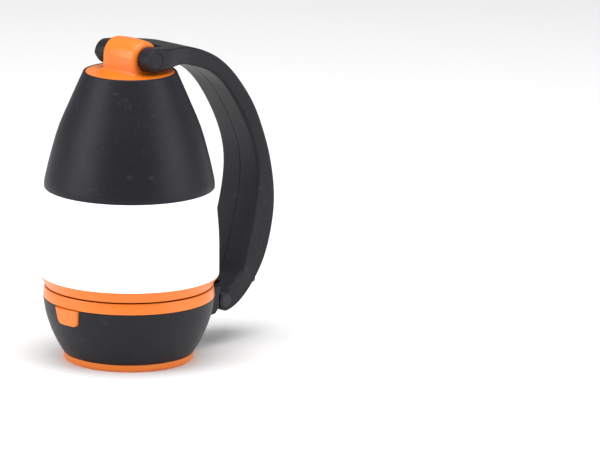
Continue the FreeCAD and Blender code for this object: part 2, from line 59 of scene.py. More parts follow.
def curve_through(points, steps=12):
    """Smooth run through the given points: between two of them, with their neighbours, the cubic
    0.5 * (2b + (c-a)s + (2a-5b+4c-d)s^2 + (3b-a-3c+d)s^3), s from 0 to 1."""
    p = np.asarray(points, float)
    p = np.vstack([2 * p[0] - p[1], p, 2 * p[-1] - p[-2]])
    s = np.linspace(0, 1, steps, endpoint=False)[:, None]
    runs = []
    for a, b, c, d in zip(p[:-3], p[1:-2], p[2:-1], p[3:]):
        runs.append(0.5 * (2 * b + (c - a) * s + (2 * a - 5 * b + 4 * c - d) * s ** 2
                           + (3 * b - a - 3 * c + d) * s ** 3))
    return np.vstack(runs + [p[-2:-1]])


def softened(outline, steps=5):
    """Closed outline of (x, z, radius) corners. A corner p with neighbours a way u and v off becomes
    p + r(1-s)^2 u + r s^2 v, s from 0 to 1; a radius of 0 leaves the point as it is."""
    q = np.asarray(outline, float)
    s = np.linspace(0, 1, steps)[:, None]
    out = []
    for k in range(len(q)):
        p, r = q[k, :2], q[k, 2]
        if r <= 0:
            out.append(p[None])
            continue
        u = q[k - 1, :2] - p
        v = q[(k + 1) % len(q), :2] - p
        u *= min(r, 0.48 * np.linalg.norm(u)) / np.linalg.norm(u)
        v *= min(r, 0.48 * np.linalg.norm(v)) / np.linalg.norm(v)
        out.append(p + (1 - s) ** 2 * u + s ** 2 * v)
    return np.vstack(out)


def smooth_run(points, steps=12):
    """A smooth run as outline corners with no rounding of their own."""
    run = curve_through(points, steps)
    return [(x, z, 0.0) for x, z in run]


def new_piece(name, content):
    """Object in the scene for a mesh, a light or a camera, at the origin."""
    piece = bpy.data.objects.new(name, content)
    bpy.context.scene.collection.objects.link(piece)
    return piece


def shade(piece, crease=32):
    """Smooth shading, with edges sharper than crease degrees kept sharp."""
    mesh = piece.data
    mesh.polygons.foreach_set("use_smooth", np.ones(len(mesh.polygons), bool))
    mesh.set_sharp_from_angle(angle=math.radians(crease))


def grid_quads(index, around=False):
    """Four-cornered faces over a grid of point numbers; around joins the last column to the first."""
    if around:
        index = np.hstack([index, index[:, :1]])
    return np.stack([index[:-1, :-1], index[:-1, 1:], index[1:, 1:], index[1:, :-1]], -1).reshape(-1, 4)


def closed_mesh(name, verts, quads, crease=32):
    """Object from a closed surface in metres. The faces are turned outwards by the sign of the volume,
    the sum of a . (b x c) over the corners of each face, and edges sharper than crease stay sharp."""
    v = np.asarray(verts, np.float64)
    q = np.asarray(quads, np.int32)
    a, b, c, d = (v[q[:, k]] for k in range(4))
    volume = np.einsum("ij,ij->", a, np.cross(b, c)) + np.einsum("ij,ij->", a, np.cross(c, d))
    if volume < 0:
        q = q[:, ::-1]
    mesh = bpy.data.meshes.new(name)
    mesh.vertices.add(len(v))
    mesh.vertices.foreach_set("co", v.ravel())
    mesh.loops.add(q.size)
    mesh.loops.foreach_set("vertex_index", q.ravel())
    mesh.polygons.add(len(q))
    mesh.polygons.foreach_set("loop_start", np.arange(0, q.size, 4, dtype=np.int32))
    mesh.update(calc_edges=True)
    work = bmesh.new()
    work.from_mesh(mesh)
    bmesh.ops.remove_doubles(work, verts=work.verts, dist=1e-7)
    bmesh.ops.dissolve_degenerate(work, edges=work.edges, dist=1e-8)
    work.to_mesh(mesh)
    work.free()
    piece = new_piece(name, mesh)
    shade(piece, crease)
    return piece


def lathe(name, outline, turns=240):
    """Closed outline in millimetres carried round the lamp axis: (r cos t, r sin t, z)."""
    p = np.asarray(outline, float)[:, :2] * MM
    t = np.linspace(0, 2 * np.pi, turns, endpoint=False)
    verts = np.stack([
        np.outer(p[:, 0], np.cos(t)), np.outer(p[:, 0], np.sin(t)),
        np.repeat(p[:, 1:2], turns, 1)], -1).reshape(-1, 3)
    index = np.arange(len(verts)).reshape(len(p), turns)
    return closed_mesh(name, verts, grid_quads(np.vstack([index, index[:1]]), around=True))


def skin_group(name, values, results):
    """Shader node group with named inputs and results. Returns it with the sockets it is given and has to
    feed, a function that places a sum or a noise in it, and its place node. That function sets numbers on
    the node and links sockets to it."""
    group = bpy.data.node_groups.new(name, "ShaderNodeTree")
    for label, value in values.items():
        kind = "NodeSocketColor" if isinstance(value, tuple) else "NodeSocketFloat"
        group.interface.new_socket(label, in_out="INPUT", socket_type=kind).default_value = value
    for label in results:
        kind = "NodeSocketColor" if label == "Color" else "NodeSocketFloat"
        group.interface.new_socket(label, in_out="OUTPUT", socket_type=kind)
    place = group.nodes.new("ShaderNodeTexCoord")

    def put(kind, *values):
        noise = kind == "NOISE"
        node = group.nodes.new("ShaderNodeTexNoise" if noise else "ShaderNodeMath")
        if noise:
            group.links.new(place.outputs["Object"], node.inputs["Vector"])
            sockets = [node.inputs["Scale"], node.inputs["Detail"], node.inputs["Distortion"]]
        else:
            node.operation = kind
            sockets = node.inputs
        for socket, value in zip(sockets, values):
            if isinstance(value, bpy.types.NodeSocket):
                group.links.new(value, socket)
            else:
                socket.default_value = value
        return node.outputs[0]

    given = group.nodes.new("NodeGroupInput").outputs
    result = group.nodes.new("NodeGroupOutput").inputs
    return group, given, result, put, place


def scaled_color(group, color, factor):
    """A colour times a number, inside a group."""
    tint = group.nodes.new("ShaderNodeVectorMath")
    tint.operation = "SCALE"
    group.links.new(color, tint.inputs[0])
    group.links.new(factor, tint.inputs["Scale"])
    return tint.outputs[0]


def moulding_group():
    """Node group for a moulded plastic skin: fine grain height, slow shifts of tone, soft patches that
    handling has polished, and faint pale scuffs where it has been knocked about in a bag."""
    group, given, result, put, _ = skin_group("moulded_skin", {
        "Color": (0.5, 0.5, 0.5, 1.0), "Roughness": 0.5, "Grain Size": 1800.0, "Tone Shift": 0.1,
        "Polish": 0.12, "Scuffs": 0.06}, ("Color", "Roughness", "Height"))
    link = group.links.new
    fleck = put("NOISE", 5200.0, 1.0)
    link(put("MULTIPLY_ADD", fleck, 0.35, put("NOISE", given["Grain Size"], 3.0)), result["Height"])
    shift = put("MULTIPLY_ADD", put("SUBTRACT", put("NOISE", 28.0, 3.0), 0.5), given["Tone Shift"], 1.0)
    rare = group.nodes.new("ShaderNodeMapRange")
    rare.inputs["From Min"].default_value = 0.60
    rare.inputs["From Max"].default_value = 0.74
    link(put("NOISE", 210.0, 9.0, 1.8), rare.inputs["Value"])
    amount = put("MULTIPLY", rare.outputs["Result"], given["Scuffs"])
    worn = group.nodes.new("ShaderNodeMix")
    worn.data_type = "RGBA"
    worn.inputs["B"].default_value = (0.42, 0.41, 0.40, 1.0)
    link(amount, worn.inputs["Factor"])
    link(scaled_color(group, given["Color"], shift), worn.inputs["A"])
    link(worn.outputs["Result"], result["Color"])
    patch = put("SUBTRACT", put("NOISE", 75.0, 5.0), 0.5)
    gloss = put("MULTIPLY_ADD", patch, given["Polish"], given["Roughness"])
    link(put("MULTIPLY_ADD", amount, 1.5, gloss), result["Roughness"])
    return group


moulded_skin = moulding_group()


def skinned(name, group, values, depth, strength):
    """Material whose colour, roughness and bump come from a skin group, and the shader it feeds."""
    mat = bpy.data.materials.new(name)
    mat.use_nodes = True
    tree = mat.node_tree
    shader = tree.nodes["Principled BSDF"]
    skin = tree.nodes.new("ShaderNodeGroup")
    skin.node_tree = group
    for label, value in values.items():
        skin.inputs[label].default_value = value
    bump = tree.nodes.new("ShaderNodeBump")
    bump.inputs["Distance"].default_value = depth
    bump.inputs["Strength"].default_value = strength
    tree.links.new(skin.outputs["Color"], shader.inputs["Base Color"])
    tree.links.new(skin.outputs["Roughness"], shader.inputs["Roughness"])
    tree.links.new(skin.outputs["Height"], bump.inputs["Height"])
    tree.links.new(bump.outputs["Normal"], shader.inputs["Normal"])
    return mat, shader


def moulded(name, color, roughness, grain=1800.0, depth=0.00004, strength=0.25, tone=0.12, polish=0.12,
            scuffs=0.05, **fixed):
    """Plastic with the moulded skin; fixed holds plain values for the shader's own sockets."""
    mat, shader = skinned(name, moulded_skin, {
        "Color": (*color, 1.0), "Roughness": roughness, "Grain Size": grain, "Tone Shift": tone,
        "Polish": polish, "Scuffs": scuffs}, depth, strength)
    for label, value in fixed.items():
        shader.inputs[label.replace("_", " ")].default_value = value
    return mat


def finish_piece(piece, material, body, slot, *replaced):
    """Gives a piece its material and body, and hides the nodes of the frame it stands for."""
    piece.data.materials.clear()
    piece.data.materials.append(material)
    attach(piece, body)
    if replaced:
        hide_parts(*replaced)


black_skin = moulded("black_abs", (0.0095, 0.0095, 0.0135), 0.44, grain=2600.0, strength=0.3, scuffs=0.035,
                     Specular_IOR_Level=0.25)
shell_low, shell_high = (np.array(c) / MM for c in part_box("cone_shell"))
foot_r, foot_z, roof_z = shell_high[0], shell_low[2], shell_high[2]
climb = roof_z - foot_z
cap_high = np.array(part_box("head_cap")[1]) / MM
disc_r = cap_high[0]
cone_steps = [
    (1.0, 0.0), (0.9904, 0.073), (0.9233, 0.2827), (0.8297, 0.5166), (0.6882, 0.7627), (0.5455, 1.0)]
cone_line = [(foot_r * r, foot_z + climb * z) for r, z in cone_steps]
shell_wall = 1.7
seat_z, roof_under = roof_z - 1.9, roof_z - 3.6
seat_r, roof_hole = disc_r + 0.12, disc_r - 4.6
inside = [(r - shell_wall, z - 0.6) for r, z in cone_line[:-1]]
cone = lathe("cone_shell_skin", softened(
    [(foot_r - 1.9, foot_z, 0.3), (foot_r - 0.02, foot_z, 0.35)] + smooth_run(cone_line)[2:-1]
    + [(cone_line[-1][0], roof_z, 0.5), (seat_r, roof_z, 0.25), (seat_r, seat_z, 0), (roof_hole, seat_z, 0),
       (roof_hole, roof_under, 0), (disc_r + 0.4, roof_under, 0)]
    + smooth_run(inside)[::-1][:-6]))
finish_piece(cone, black_skin, "head", "black_plastic", "cone_shell")

# ---------------------------------------------------------------- diffuser
# The milky barrel that glows. It is blow-smooth polycarbonate with white pigment, lit from a ring of
# small lamps on the board under it; its top lip is drawn up into the cone shell.


def glow_group():
    """Node group for light from inside: warm white at the Low height that turns to cool white at High."""
    group, given, result, _, place = skin_group("inner_glow", {"Low": 0.0, "High": 0.1}, ("Color",))
    split = group.nodes.new("ShaderNodeSeparateXYZ")
    span = group.nodes.new("ShaderNodeMapRange")
    blend = group.nodes.new("ShaderNodeMix")
    blend.data_type = "RGBA"
    blend.inputs["A"].default_value = (1.0, 0.995, 0.98, 1.0)
    blend.inputs["B"].default_value = (0.93, 0.95, 1.0, 1.0)
    link = group.links.new
    link(place.outputs["Object"], split.inputs[0])
    link(split.outputs["Z"], span.inputs["Value"])
    link(given["Low"], span.inputs["From Min"])
    link(given["High"], span.inputs["From Max"])
    link(span.outputs["Result"], blend.inputs["Factor"])
    link(blend.outputs["Result"], result["Color"])
    return group


inner_glow = glow_group()


def lit_plastic(name, color, roughness, glow, strength):
    """Translucent white plastic with a smooth moulded skin, lit from inside between two heights."""
    mat = moulded(name, color, roughness, grain=900.0, depth=0.00002, strength=0.06, tone=0.03, polish=0.05,
                  scuffs=0.0, Subsurface_Weight=0.35, Emission_Strength=strength, Coat_Weight=0.25,
                  Coat_Roughness=0.08)
    shader = mat.node_tree.nodes["Principled BSDF"]
    shader.inputs["Subsurface Radius"].default_value = (0.004, 0.004, 0.004)
    shine = mat.node_tree.nodes.new("ShaderNodeGroup")
    shine.node_tree = inner_glow
    shine.inputs["Low"].default_value, shine.inputs["High"].default_value = glow
    mat.node_tree.links.new(shine.outputs["Color"], shader.inputs["Emission Color"])
    return mat


drum_low, drum_high = (np.array(c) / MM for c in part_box("diffuser"))
belly = shell_high[0] * 1.0576
drum_line = [(belly, drum_low[2]), (belly * 0.9955, 60.6), (belly * 0.975, 72.8), (foot_r, foot_z - 0.06)]
drum_wall = 1.6
drum_in = [(r - drum_wall, z) for r, z in drum_line]
drum_in[0] = (belly - drum_wall, drum_low[2] + 1.8)
drum_in[-1] = (foot_r - drum_wall, foot_z - 1.8)
lip = foot_r - 2.4
drum = lathe("diffuser_drum", softened(
    [(belly - 2.0, drum_low[2], 0), (belly - 0.02, drum_low[2], 0.25)] + smooth_run(drum_line)[2:-1]
    + [(foot_r - 0.05, foot_z - 0.08, 0.3), (lip, foot_z - 0.08, 0), (lip, drum_high[2], 0.2),
       (lip - 1.4, drum_high[2], 0.2), (lip - 1.4, foot_z - 1.2, 0)]
    + smooth_run(drum_in)[::-1]))
milk = lit_plastic("milky_polycarbonate", (0.84, 0.86, 0.91), 0.28, (0.043, 0.086), 0.5)
finish_piece(drum, milk, "head", "white_diffuser", "diffuser")

# ---------------------------------------------------------------- orange rings
# Two satin orange trims meet at the split of the lamp. The upper one flares out to the diffuser and
# turns with the head; the lower one is pressed on the bowl's lip and stays with the base.
orange_skin = moulded("orange_abs", (0.86, 0.20, 0.010), 0.34, grain=2200.0, strength=0.12, tone=0.06,
                      Coat_Weight=0.15, Coat_Roughness=0.25)
ring_low, ring_high = (np.array(c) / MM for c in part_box("head_ring"))
rim_r = ring_high[0]
split_r = rim_r * 0.9297
ring = lathe("head_ring_trim", softened(
    [(split_r - 1.0, ring_low[2], 0), (split_r + 0.05, ring_low[2], 0.3)]
    + smooth_run([(split_r + 0.35, ring_low[2] + 0.45), (split_r + 1.1, ring_low[2] + 2.2),
                  (rim_r - 0.08, ring_high[2] - 0.3)], 8)
    + [(rim_r - 0.1, ring_high[2], 0.2), (rim_r - 1.9, ring_high[2], 0), (rim_r - 1.9, ring_high[2] - 1.1, 0),
       (split_r - 1.0, ring_low[2] + 2.4, 0)]))
finish_piece(ring, orange_skin, "head", "orange_plastic", "head_ring")

trim_low, trim_high = (np.array(c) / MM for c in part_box("base_trim_ring"))
trim_r = trim_high[0]
trim_hole = trim_r - 2.3
lip_r, lip_z = 38.05, 35.42
trim = lathe("base_trim_band", softened([
    (trim_hole, trim_low[2], 0), (trim_r - 0.02, trim_low[2], 0.35),
    (split_r + 0.45, trim_high[2] - 0.3, 0.3), (split_r + 0.1, trim_high[2], 0.3),
    (lip_r, trim_high[2] - 1.0, 0.2), (lip_r, lip_z, 0), (trim_hole, lip_z, 0)]))
finish_piece(trim, orange_skin, "base", "orange_plastic", "base_trim_ring")

# ---------------------------------------------------------------- bowl and hinge saddle
# The black base bowl holds the torch and the cells. A window opposite the hinge lets the release
# button through, and a saddle with a middle knuckle carries the pin of the handle.


def freeze(piece):
    """Makes the result of the live modifiers the piece's own mesh."""
    done = bpy.data.meshes.new_from_object(piece.evaluated_get(bpy.context.evaluated_depsgraph_get()))
    piece.modifiers.clear()
    piece.data = done
    done.name = piece.name


def carve(piece, tool, operation="DIFFERENCE"):
    """Cuts a closed tool out of a closed piece, or joins them, and removes the tool."""
    step = piece.modifiers.new("carve", "BOOLEAN")
    step.object = tool
    step.operation = operation
    step.solver = "EXACT"
    freeze(piece)
    bpy.data.objects.remove(tool)


def faceted(name, verts, faces):
    """Closed piece from points in millimetres and faces with any number of corners, turned outwards."""
    mesh = bpy.data.meshes.new(name)
    mesh.from_pydata((verts * MM).tolist(), [], faces)
    work = bmesh.new()
    work.from_mesh(mesh)
    bmesh.ops.remove_doubles(work, verts=work.verts, dist=1e-8)
    bmesh.ops.recalc_face_normals(work, faces=work.faces)
    work.to_mesh(mesh)
    work.free()
    return new_piece(name, mesh)


def prism(name, outline, start, end, axes=(0, 2, 1), round_edge=0.0):
    """Closed outline in millimetres carried straight from start to end. axes says which of x, y, z are the
    outline's two directions and the way it is carried; its edges can be rounded."""
    p = np.asarray(outline, float)[:, :2]
    n = len(p)
    verts = np.zeros((2 * n, 3))
    verts[:, axes[:2]] = np.vstack([p, p])
    verts[:, axes[2]] = np.repeat((start, end), n)
    index = np.arange(2 * n).reshape(2, n)
    piece = faceted(name, verts, [index[0, ::-1].tolist(), index[1].tolist()]
                    + grid_quads(index, around=True).tolist())
    if round_edge:
        edge = piece.modifiers.new("edge", "BEVEL")
        edge.width = round_edge * MM
        edge.segments = 3
        edge.limit_method = "ANGLE"
        edge.angle_limit = math.radians(40)
        freeze(piece)
    return piece


def disc_outline(x, z, radius, count=96):
    """Circle about (x, z)."""
    t = np.linspace(0, 2 * np.pi, count, endpoint=False)
    return np.stack([x + radius * np.cos(t), z + radius * np.sin(t)], -1)


bowl_low = np.array(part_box("base_bowl")[0]) / MM
# The step and the neck that the trim ring sits on, and the bowl's outside and inside as (radius, height).
step_z = trim_low[2] - 0.05
neck_r, neck_hole, neck_z = 39.6, 37.8, 35.35
bowl_line = [(32.0, 3.8), (35.0, 8.8), (38.2, 15.6), (40.7, 23.4), (trim_r, step_z)]
bowl_run = curve_through(bowl_line)
bowl_inner = [(30.3, 4.8), (33.25, 9.7), (36.4, 16.2), (38.85, 23.8)]
bowl = lathe("base_bowl_shell", softened(
    [(30.15, bowl_low[2], 0), (31.95, bowl_low[2], 0.3)] + [(r, z, 0) for r, z in bowl_run[2:-1]]
    + [(trim_r - 0.02, step_z, 0.3), (neck_r, step_z, 0), (neck_r, neck_z, 0.2), (neck_hole, neck_z, 0.2),
       (neck_hole, 27.5, 0)] + smooth_run(bowl_inner, 6)[::-1]), 288)

pin_x, _, pin_z = (v / MM for v in joint["handle_hinge"]["pos_m"])
knuckle_r = 5.0
knuckle_half = 5.9
lug_half = 17.0
face_x = pin_x - knuckle_r - 0.8
saddle_top = pin_z + 8.6
saddle = prism("saddle", softened([
    (34.5, pin_z - 5.4, 0), (face_x - 2.6, pin_z - 5.0, 0.8), (face_x, pin_z - 2.4, 0.8),
    (face_x, pin_z + 4.4, 1.5), (face_x + 1.5, saddle_top, 0.2), (37.4, saddle_top, 0)], 7),
    -lug_half, lug_half, round_edge=0.9)
carve(bowl, saddle, "UNION")
root_x = face_x - 3
nose = np.linspace(math.pi / 2, -math.pi / 2, 25)
web_outline = np.vstack([
    [(root_x, pin_z + knuckle_r)],
    np.stack([pin_x + knuckle_r * np.cos(nose), pin_z + knuckle_r * np.sin(nose)], -1),
    [(pin_x - 3.9, pin_z - 3.0), (root_x, pin_z - 3.0)]])
carve(bowl, prism("web", web_outline, -knuckle_half, knuckle_half, round_edge=0.45), "UNION")

key_high = np.array(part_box("latch_button")[1]) / MM
key_top = key_high[2]
key_foot = trim_low[2] - 8.65
key_half = 7.75
key_gap = 0.25


def key_half_width(z, grow=0.0):
    """Half width of the release button at height z: straight tapered sides that end in round corners
    of radius c, where the half width is s - c + sqrt(c^2 - (f + c - z)^2)."""
    corner = 2.6 + grow
    z = np.asarray(z, float)
    share = np.clip((key_top - z) / (key_top - key_foot), 0, 1)
    side = key_half + grow - 1.3 * share
    drop = np.clip(key_foot - grow + corner - z, 0, corner)
    return side - corner + np.sqrt(np.maximum(corner ** 2 - drop ** 2, 0))


window_z = key_foot - key_gap + 2.85 * (1 - np.cos(np.linspace(0, np.pi / 2, 12)))
window_z = np.append(window_z, key_top + 0.15)
half_outline = np.stack([key_half_width(window_z, key_gap), window_z], -1)
window_outline = np.vstack([half_outline, half_outline[::-1] * (-1, 1)])
carve(bowl, prism("window", window_outline, -60, -30, axes=(1, 2, 0)))
pin_hole_r = 2.06
carve(bowl, prism("pin_hole", disc_outline(pin_x, pin_z, pin_hole_r), -9, 9))
shade(bowl)
finish_piece(bowl, black_skin, "base", "black_plastic", "base_bowl")

# ---------------------------------------------------------------- release button
# An orange key that stands a little proud of the bowl and follows its curve. It slides inwards
# against a coil spring; its hidden back is a plain block here.


def two_sheets(name, top, under, crease=32):
    """Closed piece from two grids of points in millimetres that share their rim: the top sheet, the
    under sheet, and a strip that joins their edges all round."""
    rows, cols = top.shape[:2]
    verts = np.vstack([top.reshape(-1, 3), under.reshape(-1, 3)]) * MM
    index = np.arange(rows * cols).reshape(rows, cols)
    other = index + rows * cols
    rim = np.concatenate([index[0, :-1], index[:-1, -1], index[-1, :0:-1], index[:0:-1, 0]])
    rim2 = np.concatenate([other[0, :-1], other[:-1, -1], other[-1, :0:-1], other[:0:-1, 0]])
    strip = np.stack([np.roll(rim, -1), rim, rim2, np.roll(rim2, -1)], -1)
    quads = np.vstack([grid_quads(index), grid_quads(other)[:, ::-1], strip])
    return closed_mesh(name, verts, quads, crease)


def edge_drop(distance, radius):
    """How far a rounded rim falls below the face: radius - sqrt(radius^2 - (radius - distance)^2)."""
    near = np.clip(radius - distance, 0, radius)
    return radius - np.sqrt(np.maximum(radius ** 2 - near ** 2, 0))


def crowded(count):
    """Steps from -1 to 1 that crowd towards both ends: the sine of even angles."""
    return np.sin(np.linspace(-np.pi / 2, np.pi / 2, count))


key_z = key_foot + (key_top - key_foot) * (1 + crowded(41)) / 2
key_b = key_half_width(key_z)
Y = key_b[:, None] * crowded(41)[None, :]
Z = np.repeat(key_z[:, None], 41, 1)
bowl_r = np.interp(Z, bowl_run[:, 1], bowl_run[:, 0])
gap_to_rim = np.minimum(key_b[:, None] - np.abs(Y), np.minimum(Z - key_foot, key_top - Z))
proud = 1.25 - edge_drop(gap_to_rim, 0.7)
thumb_dish = 0.25 * np.exp(-((Y / 4.2) ** 2 + ((Z - 26.9) / 2.6) ** 2))
X = -np.sqrt((bowl_r + proud - thumb_dish) ** 2 - Y ** 2)
key_back = np.full_like(X, key_high[0] - 1.2)
key = two_sheets("release_key", np.stack([X, Y, Z], -1), np.stack([key_back, Y, Z], -1))
finish_piece(key, orange_skin, "latch", "orange_plastic", "latch_button")

# ---------------------------------------------------------------- torch end
# The lower face of the lamp: an orange bezel screwed into the bowl, a black retainer, a clear disc,
# and a metallised dish round one large lamp. The lamp stands on the bezel.
bezel_high = np.array(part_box("bezel_ring")[1]) / MM
bezel_r = bezel_high[0]
bezel_hole, bezel_neck, bezel_step = bezel_r - 3.6, bezel_r - 2.0, 3.6
bezel = lathe("bezel_front", softened([
    (bezel_hole, 0.0, 0.35), (bezel_r - 1.05, 0.0, 0.5), (bezel_r - 0.3, 0.6, 0.5),
    (bezel_r - 0.01, bezel_step, 0.2), (bezel_neck, bezel_step, 0), (bezel_neck, bezel_high[2], 0.2),
    (bezel_hole, bezel_high[2], 0.2)]))
finish_piece(bezel, orange_skin, "base", "orange_plastic", "bezel_ring")
hold_low, hold_high = (np.array(c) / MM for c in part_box("lens_retainer"))
hold_r = hold_high[0]
hold_seat, hold_hole, seat_floor = hold_r - 0.65, hold_r - 3.0, 2.7
retainer = lathe("lens_retainer_ring", softened([
    (hold_r, hold_low[2], 0.2), (hold_r, hold_high[2], 0.1), (hold_seat, hold_high[2], 0.1),
    (hold_seat, seat_floor, 0), (hold_hole, seat_floor, 0.15), (hold_hole, 1.9, 0.3)]))
finish_piece(retainer, black_skin, "base", "black_plastic", "lens_retainer")


def clear_plastic():
    """Polished acrylic; fine haze from wiping shows only in its roughness."""
    mat = bpy.data.materials.new("clear_acrylic")
    mat.use_nodes = True
    tree = mat.node_tree
    shader = tree.nodes["Principled BSDF"]
    shader.inputs["Base Color"].default_value = (0.98, 0.99, 1.0, 1.0)
    shader.inputs["Transmission Weight"].default_value = 1.0
    shader.inputs["IOR"].default_value = 1.3
    place = tree.nodes.new("ShaderNodeTexCoord")
    haze = tree.nodes.new("ShaderNodeTexNoise")
    haze.inputs["Scale"].default_value = 140.0
    haze.inputs["Detail"].default_value = 4.0
    span = tree.nodes.new("ShaderNodeMapRange")
    span.inputs["To Min"].default_value = 0.01
    span.inputs["To Max"].default_value = 0.05
    tree.links.new(place.outputs["Object"], haze.inputs["Vector"])
    tree.links.new(haze.outputs["Fac"], span.inputs["Value"])
    tree.links.new(span.outputs["Result"], shader.inputs["Roughness"])
    return mat


glass_low, glass_high = (np.array(c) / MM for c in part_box("torch_lens"))
glass_r = glass_high[0]
clear = clear_plastic()
window_disc = lathe("torch_window", softened([
    (0, glass_low[2], 0), (glass_r, glass_low[2], 0.2), (glass_r, glass_high[2], 0.2),
    (0, glass_high[2], 0)]))
finish_piece(window_disc, clear, "base", "clear_lens", "torch_lens")


def metal_group():
    """Node group for plated metal: tone and roughness wander a little, and ripples left by the tool show in
    the reflections."""
    group, given, result, put, _ = skin_group("metal_skin", {
        "Color": (0.6, 0.6, 0.6, 1.0), "Roughness": 0.3, "Ripple Size": 60.0, "Tarnish": 0.1},
        ("Color", "Roughness", "Height"))
    link = group.links.new
    wander = put("NOISE", given["Ripple Size"], 3.0)
    link(wander, result["Height"])
    link(put("MULTIPLY", given["Roughness"], put("MULTIPLY_ADD", wander, 0.8, 0.6)), result["Roughness"])
    shade_off = put("SUBTRACT", 1.0, put("MULTIPLY", put("NOISE", 130.0, 4.0), given["Tarnish"]))
    link(scaled_color(group, given["Color"], shade_off), result["Color"])
    return group


metal_skin = metal_group()


def metallised(name, color, roughness, ripple):
    """Plated metal with the metal skin."""
    mat, shader = skinned(name, metal_skin, {
        "Color": (*color, 1.0), "Roughness": roughness, "Ripple Size": ripple}, 0.0001, 0.08)
    shader.inputs["Metallic"].default_value = 1.0
    return mat


dish_low, dish_high = (np.array(c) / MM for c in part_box("torch_reflector"))
mouth = hold_r - 3.75
throat = mouth * 0.423
share = np.linspace(0, 1, 33)
bell_z = dish_low[2] + (dish_high[2] - dish_low[2]) * share
bell_r = np.sqrt(throat ** 2 + (mouth ** 2 - throat ** 2) * (1 - share))
back_r = bell_r[::-1] + 1.0
dish = lathe("reflector_dish", softened(
    [(mouth + 0.15, dish_low[2], 0.15)] + [(r, z, 0) for r, z in zip(bell_r[1:], bell_z[1:])]
    + [(r, z, 0) for r, z in zip(back_r[:-3], bell_z[::-1][:-3])]
    + [(dish_high[0], dish_low[2] + 1.0, 0.1), (dish_high[0], dish_low[2], 0.1)]), 288)
chrome = metallised("metallised_dish", (0.90, 0.91, 0.93), 0.09, 60.0)
flutes = 24
spots = np.empty(len(dish.data.vertices) * 3)
dish.data.vertices.foreach_get("co", spots)
spots = spots.reshape(-1, 3) / MM
spot_r = np.hypot(spots[:, 0], spots[:, 1])
bell_here = np.interp(spots[:, 2], bell_z, bell_r)
on_bell = np.abs(spot_r - bell_here) < 0.15
wave_depth = 0.11 * np.clip((mouth - spot_r) / 1.5, 0, 1) * on_bell
swell = 1 - wave_depth * (1 - np.abs(np.cos(flutes / 2 * np.arctan2(spots[:, 1], spots[:, 0])))) / spot_r
spots[:, :2] *= swell[:, None]
dish.data.vertices.foreach_set("co", (spots * MM).ravel())
dish.data.update()
finish_piece(dish, chrome, "base", "chrome_reflector", "torch_reflector")

lamp_low, lamp_high = (np.array(c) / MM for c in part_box("torch_led"))
dome_a = np.linspace(0, np.pi / 2, 20)
lamp_r = lamp_high[0]
lamp_h = lamp_high[2] - lamp_low[2] - 0.8
dome = np.stack([lamp_r * np.sin(dome_a), lamp_low[2] + lamp_h * (1 - np.cos(dome_a))], -1)
lamp = lathe("torch_lamp", np.vstack([dome, [(lamp_r, lamp_high[2]), (0, lamp_high[2])]]), 96)
lamp_glow = lit_plastic("lamp_silicone", (0.93, 0.92, 0.86), 0.2, (0.0, 0.03), 1.6)
finish_piece(lamp, lamp_glow, "base", "led_body", "torch_led")

# ---------------------------------------------------------------- orange cap and post
# The orange top of the head: a shallow domed disc and, in one piece with it, the upright post
# between the arms of the handle. The post is bored for the two pivot pins.
piv_x, _, piv_z = (v / MM for v in joint["head_pivot"]["pos_m"])
post_half = 11.0
arch_r = cap_high[2] - piv_z
spigot_r, spigot_z, disc_z = disc_r - 5.0, roof_z - 4.0, roof_z - 1.8
cap = lathe("head_cap_and_post", softened(
    [(0, spigot_z, 0), (spigot_r, spigot_z, 0), (spigot_r, disc_z, 0), (disc_r, disc_z, 0),
     (disc_r, roof_z - 0.15, 0.35)] + smooth_run([
         (disc_r - 0.5, roof_z - 0.06), (disc_r * 0.72, roof_z + 0.15), (disc_r * 0.4, roof_z + 0.35),
         (0, roof_z + 0.4)], 6)))


def crowned_post(name, half, radius, crown, edge, foot_z, blend):
    """The post as one surface: its half thickness at y is radius - crown (y/half)^2 less the rounding of
    the ends; that is carried up one side, over the half round about the pivot and down the other, and
    near the foot it grows along its own normal by blend - sqrt(blend^2 - (blend - h)^2) at height h."""
    y = half * crowded(61)
    reach = radius - crown * (y / half) ** 2 - edge_drop(half - np.abs(y), edge)
    y = np.concatenate([[-half], y, [half]])
    reach = np.concatenate([[0.0], reach, [0.0]])
    dy, dr = np.gradient(y), np.gradient(reach)
    length = np.hypot(dy, dr) + 1e-12
    out_r, out_y = dy / length, -dr / length
    climbing = foot_z + blend * (1 - np.cos(np.linspace(0, np.pi / 2, 12)))
    rise = np.concatenate([[foot_z - 1.0], climbing, [piv_z]])
    h = np.clip(rise - foot_z, 0, blend)
    grow = (blend - np.sqrt(blend ** 2 - (blend - h) ** 2))[:, None]
    leg_x = reach[None] + grow * out_r[None]
    leg_y = y[None] + grow * out_y[None]
    leg_z = np.repeat(rise[:, None], len(y), 1)
    turn = np.linspace(0, np.pi, 65)[1:-1, None]
    over_x, over_z = -np.cos(turn) * reach[None], piv_z + np.sin(turn) * reach[None]
    x = np.vstack([-leg_x, over_x, leg_x[::-1]])
    yy = np.vstack([leg_y, np.repeat(y[None], len(turn), 0), leg_y[::-1]])
    z = np.vstack([leg_z, over_z, leg_z[::-1]])
    index = np.arange(x.size).reshape(x.shape)
    quads = grid_quads(np.vstack([index, index[:1]]))
    return closed_mesh(name, np.stack([x, yy, z], -1).reshape(-1, 3) * MM, quads)


post = crowned_post("post", post_half, arch_r, 0.75, 1.7, roof_z + 0.25, 1.75)
carve(cap, post, "UNION")
carve(cap, prism("bore", disc_outline(piv_x, piv_z, 2.56), -20, 20))
shade(cap)
finish_piece(cap, orange_skin, "head", "orange_plastic", "head_cap")

